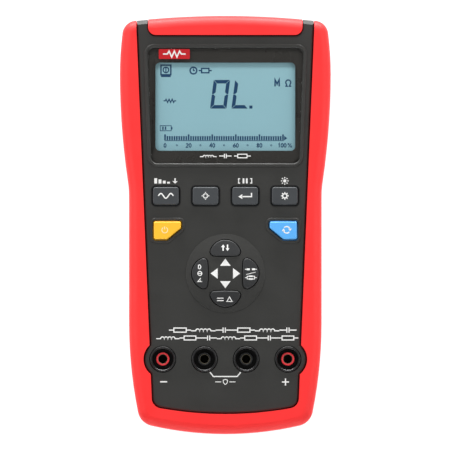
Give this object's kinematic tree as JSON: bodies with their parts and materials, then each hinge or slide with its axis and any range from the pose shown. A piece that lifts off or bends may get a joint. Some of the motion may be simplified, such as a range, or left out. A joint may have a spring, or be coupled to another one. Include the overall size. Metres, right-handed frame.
{
  "type": "handheld lcr meter",
  "caption": "Handheld component meter with a large display, soft bumper, coloured keys, domed navigation pad, shrouded test sockets, tilt stand and battery door.",
  "frame": {"origin": "middle of the meter's footprint, on the plane its rubber feet stand on, with the meter lying on its back", "axes": "+X to the right of the panel, +Y from the sockets to the display end, +Z out of the panel"},
  "size_m": [0.0966, 0.1914, 0.0411],
  "materials": {
    "case_plastic": "fine moulded texture",
    "bumper_rubber": "soft matt overmould",
    "window": "clear, hard coated",
    "window_ink": "back-printed border",
    "gasket_foam": "black adhesive foam",
    "badge": "printed badge",
    "lcd": "blue-grey display",
    "holder": "black moulding",
    "light_guide": "milky light guide",
    "elastomer": "striped silicone",
    "key_dark": "soft matt",
    "key_yellow": "satin",
    "key_blue": "satin",
    "silicone": "translucent grey",
    "carbon_pill": "carbon pads",
    "circuit_board": "green solder mask",
    "chip_plastic": "black epoxy",
    "tin_plate": "tin plated",
    "capacitor_sleeve": "shrunk sleeve",
    "resistor_coat": "lacquer",
    "fuse_glass": "glass tube",
    "contact_metal": "nickel flash over brass",
    "socket_black": "hard black insulator",
    "socket_red": "hard red insulator",
    "battery_can": "printed jacket",
    "battery_snap": "vinyl cover",
    "wire": "vinyl insulation",
    "foam": "closed-cell foam",
    "screw_steel": "zinc plated",
    "foot_rubber": "matt",
    "label": "printed film"
  },
  "bodies": {
    "meter": {"backlight_panel": "light_guide", "battery": "battery_can", "battery_leads": "wire", "battery_snap": "battery_snap", "board_screws": "screw_steel", "buzzer": "chip_plastic", "case_screws": "screw_steel", "controller_chip": "chip_plastic", "crystal": "tin_plate", "display_window": "window", "elastomer_connectors": "elastomer", "electrolytic_capacitors": "capacitor_sleeve", "front_bumper": "bumper_rubber", "front_case": "case_plastic", "input_fuses": "fuse_glass", "key_contacts": "carbon_pill", "keypad_mat": "silicone", "lcd_glass": "lcd", "lcd_holder": "holder", "main_board": "circuit_board", "measuring_chip": "chip_plastic", "nameplate": "badge", "range_resistors": "resistor_coat", "rating_label": "label", "rear_bumper": "bumper_rubber", "rear_case": "case_plastic", "rubber_feet": "foot_rubber", "shield_can": "tin_plate", "socket_contact_guard_left": "contact_metal", "socket_contact_guard_right": "contact_metal", "socket_contact_minus": "contact_metal", "socket_contact_plus": "contact_metal", "socket_shroud_guard_left": "socket_black", "socket_shroud_guard_right": "socket_black", "socket_shroud_minus": "socket_black", "socket_shroud_plus": "socket_black", "socket_sleeve_guard_left": "socket_black", "socket_sleeve_guard_right": "socket_black", "socket_sleeve_minus": "socket_red", "socket_sleeve_plus": "socket_red", "stand_hinge_pin": "screw_steel", "top_bumper": "bumper_rubber", "usb_socket": "tin_plate", "window_gasket": "gasket_foam", "window_mask": "window_ink"},
    "frequency_key": {"frequency_key": "key_dark"},
    "calibration_key": {"calibration_key": "key_dark"},
    "enter_key": {"enter_key": "key_dark"},
    "setup_key": {"setup_key": "key_dark"},
    "power_key": {"power_key": "key_yellow"},
    "function_key": {"function_key": "key_blue"},
    "up_key": {"up_key": "key_dark"},
    "left_key": {"left_key": "key_dark"},
    "down_key": {"down_key": "key_dark"},
    "right_key": {"right_key": "key_dark"},
    "tilt_stand": {"tilt_stand": "case_plastic"},
    "battery_cover": {"battery_cover": "case_plastic", "battery_cover_screw": "screw_steel", "battery_pad": "foam"}
  },
  "joints": [
    {"name": "frequency_key_press", "type": "slide", "parent": "meter", "child": "frequency_key", "axis": [0, 0, -1], "range_m": [0, 0.001], "stiffness_N_per_m": 1500},
    {"name": "calibration_key_press", "type": "slide", "parent": "meter", "child": "calibration_key", "axis": [0, 0, -1], "range_m": [0, 0.001], "stiffness_N_per_m": 1500},
    {"name": "enter_key_press", "type": "slide", "parent": "meter", "child": "enter_key", "axis": [0, 0, -1], "range_m": [0, 0.001], "stiffness_N_per_m": 1500},
    {"name": "setup_key_press", "type": "slide", "parent": "meter", "child": "setup_key", "axis": [0, 0, -1], "range_m": [0, 0.001], "stiffness_N_per_m": 1500},
    {"name": "power_key_press", "type": "slide", "parent": "meter", "child": "power_key", "axis": [0, 0, -1], "range_m": [0, 0.001], "stiffness_N_per_m": 1500},
    {"name": "function_key_press", "type": "slide", "parent": "meter", "child": "function_key", "axis": [0, 0, -1], "range_m": [0, 0.001], "stiffness_N_per_m": 1500},
    {"name": "up_key_press", "type": "slide", "parent": "meter", "child": "up_key", "axis": [0, 0, -1], "range_m": [0, 0.001], "stiffness_N_per_m": 1500},
    {"name": "left_key_press", "type": "slide", "parent": "meter", "child": "left_key", "axis": [0, 0, -1], "range_m": [0, 0.001], "stiffness_N_per_m": 1500},
    {"name": "down_key_press", "type": "slide", "parent": "meter", "child": "down_key", "axis": [0, 0, -1], "range_m": [0, 0.001], "stiffness_N_per_m": 1500},
    {"name": "right_key_press", "type": "slide", "parent": "meter", "child": "right_key", "axis": [0, 0, -1], "range_m": [0, 0.001], "stiffness_N_per_m": 1500},
    {"name": "stand_hinge", "type": "hinge", "parent": "meter", "child": "tilt_stand", "pos_m": [0, 0.062, 0.0032], "axis": [1, 0, 0], "range_deg": [0, 60]},
    {"name": "battery_cover_lift", "type": "slide", "parent": "meter", "child": "battery_cover", "axis": [0, 0, -1], "range_m": [0, 0.025]}
  ]
}
